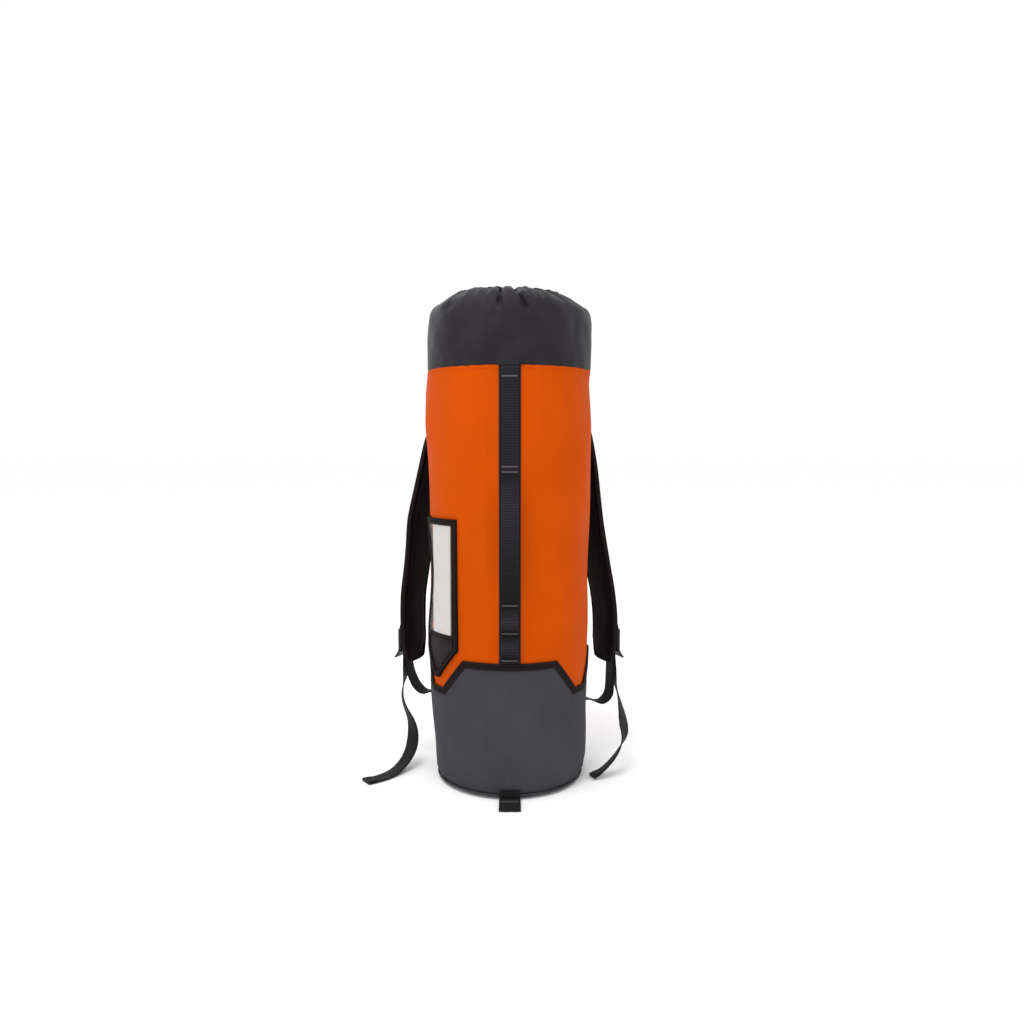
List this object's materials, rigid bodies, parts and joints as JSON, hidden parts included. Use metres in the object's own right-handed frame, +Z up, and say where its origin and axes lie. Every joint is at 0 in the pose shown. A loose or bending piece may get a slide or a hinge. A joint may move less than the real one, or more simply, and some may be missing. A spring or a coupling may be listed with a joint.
{
  "type": "rope storage bag",
  "caption": "Upright round fabric rope bag with a drawcord mouth, front webbing handle and gear loops, a clear ID pocket, a base pull tab and padded shoulder straps.",
  "frame": {"origin": "centre of the underside of the round base", "axes": "+Z up along the bag, front strap and ID side towards -Y, left shoulder strap towards -X"},
  "size_m": [0.3357, 0.237, 0.5998],
  "materials": {
    "orange_fabric": "coated woven polyester, satin",
    "grey_fabric": "heavy coated base cloth, matte",
    "skirt_fabric": "light coated nylon, slight sheen",
    "black_binding": "woven binding tape",
    "black_webbing": "ribbed nylon webbing",
    "tack_thread": "bonded thread",
    "pad_fabric": "knitted spacer mesh",
    "foam": "closed-cell foam",
    "cord": "braided polyester cord",
    "black_plastic": "moulded acetal, fine texture",
    "spring_steel": "drawn wire",
    "clear_film": "flexible clear film",
    "card": "laminated white card"
  },
  "bodies": {
    "bag": {"body_tube": "orange_fabric", "base_disc": "grey_fabric", "base_wrap": "grey_fabric", "base_piping": "grey_fabric", "zigzag_trim": "black_binding", "seam_binding": "black_binding", "top_skirt": "skirt_fabric", "drawcord": "cord", "cord_lock_body": "black_plastic", "cord_lock_spring": "spring_steel", "cord_tail_left": "cord", "cord_tail_right": "cord", "cord_end_knot": "cord", "front_backing_strap": "black_webbing", "front_ladder_strap": "black_webbing", "bar_tacks": "tack_thread", "id_pocket_frame": "black_binding", "id_window": "clear_film", "base_tab_patch": "black_webbing", "yoke_patch": "grey_fabric", "left_anchor_patch": "black_binding", "right_anchor_patch": "black_binding"},
    "left_strap": {"left_pad_cover": "pad_fabric", "left_pad_foam": "foam", "left_pad_webbing": "black_webbing", "left_lower_strap": "black_webbing", "left_strap_tail": "black_webbing"},
    "left_lock": {"left_ladder_lock": "black_plastic", "left_lock_wrap": "black_webbing"},
    "right_strap": {"right_pad_cover": "pad_fabric", "right_pad_foam": "foam", "right_pad_webbing": "black_webbing", "right_lower_strap": "black_webbing", "right_strap_tail": "black_webbing"},
    "right_lock": {"right_ladder_lock": "black_plastic", "right_lock_wrap": "black_webbing"},
    "tab": {"base_tab": "black_webbing"},
    "card": {"id_card": "card"},
    "button": {"cord_lock_button": "black_plastic"}
  },
  "joints": [
    {"name": "left_strap_swing", "type": "hinge", "parent": "bag", "child": "left_strap", "pos_m": [-0.0515, 0.0892, 0.49], "axis": [0.6429, 0.7659, 0], "range_deg": [0, 5]},
    {"name": "right_strap_swing", "type": "hinge", "parent": "bag", "child": "right_strap", "pos_m": [0.0515, 0.0892, 0.49], "axis": [0.6429, -0.7659, 0], "range_deg": [0, 5]},
    {"name": "left_lock_tilt", "type": "hinge", "parent": "left_strap", "child": "left_lock", "pos_m": [-0.14023, 0.06243, 0.17], "axis": [0.4067, 0.9136, 0], "range_deg": [0, 20]},
    {"name": "right_lock_tilt", "type": "hinge", "parent": "right_strap", "child": "right_lock", "pos_m": [0.13749, 0.06121, 0.17], "axis": [0.4067, -0.9136, 0], "range_deg": [0, 20]},
    {"name": "base_tab_lift", "type": "hinge", "parent": "bag", "child": "tab", "pos_m": [0, -0.1022, 0.0019], "axis": [-1, 0, 0], "range_deg": [0, 85]},
    {"name": "card_slide", "type": "slide", "parent": "bag", "child": "card", "axis": [0, 0, 1], "range_m": [0, 0.05]},
    {"name": "cord_lock_press", "type": "slide", "parent": "bag", "child": "button", "axis": [0, 0, -1], "range_m": [0, 0.0034], "stiffness_N_per_m": 300, "springref_m": -0.003, "deforming": ["cord_lock_spring"]}
  ]
}
